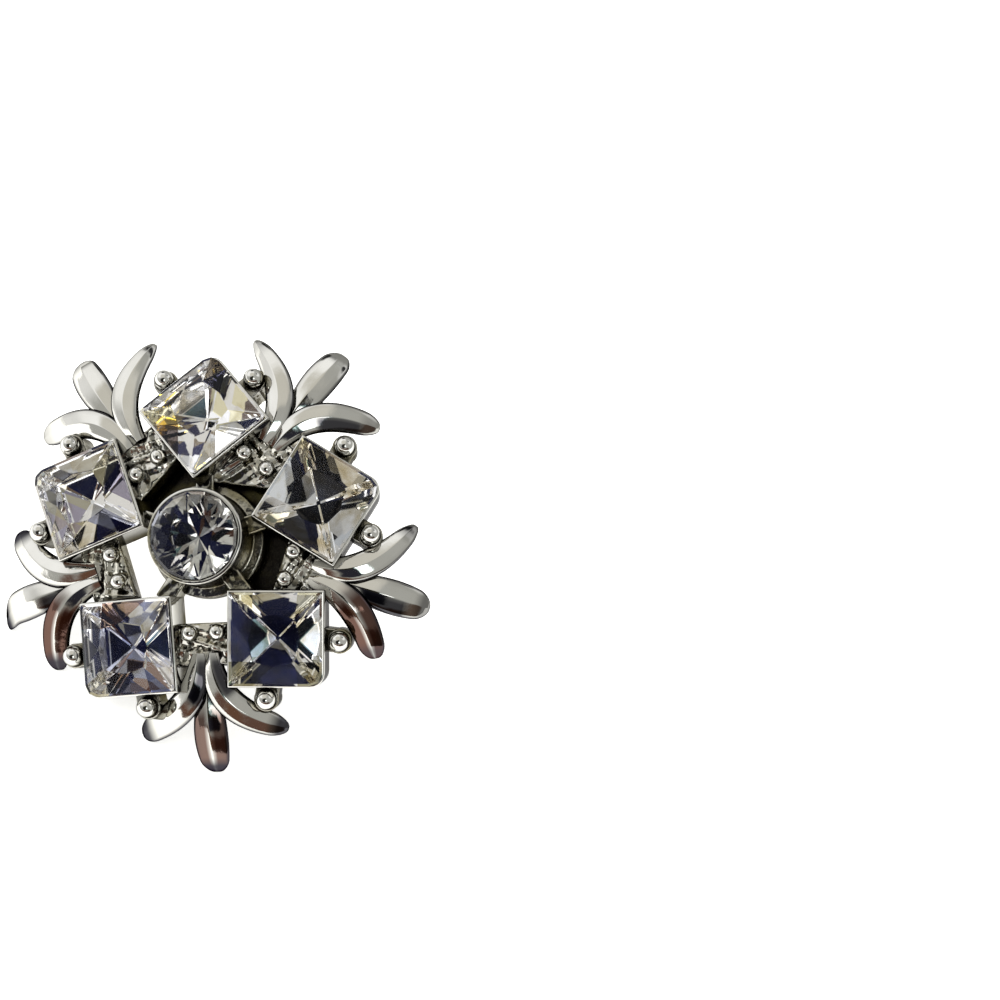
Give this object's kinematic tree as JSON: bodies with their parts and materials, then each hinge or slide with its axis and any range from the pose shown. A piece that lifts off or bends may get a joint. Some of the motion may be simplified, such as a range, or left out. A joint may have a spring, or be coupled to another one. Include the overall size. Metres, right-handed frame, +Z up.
{
  "type": "screw back earring",
  "caption": "Domed cluster earring: square crystals round a raised round crystal, with ball beads and three-pronged twigs, and a screw back, lying face up.",
  "frame": {"origin": "on the table, under the middle of the earring's footprint", "axes": "+Z up from the table, +X across the cluster, and the cluster's face looks up and towards -Y"},
  "size_m": [0.0308, 0.0239, 0.0195],
  "materials": {
    "rhodium_plate": "mirror-polished plating with a little tarnish in the crevices",
    "clasp_plate": "plain plated finding, a little duller",
    "round_crystal": "faceted foil-backed crystal",
    "square_crystal": "faceted foil-backed crystal"
  },
  "bodies": {
    "root": {"cast_setting": "rhodium_plate", "centre_stone": "round_crystal", "square_stone_1": "square_crystal", "square_stone_2": "square_crystal", "square_stone_3": "square_crystal", "square_stone_4": "square_crystal", "square_stone_5": "square_crystal", "screw_back": "clasp_plate"}
  },
  "joints": []
}
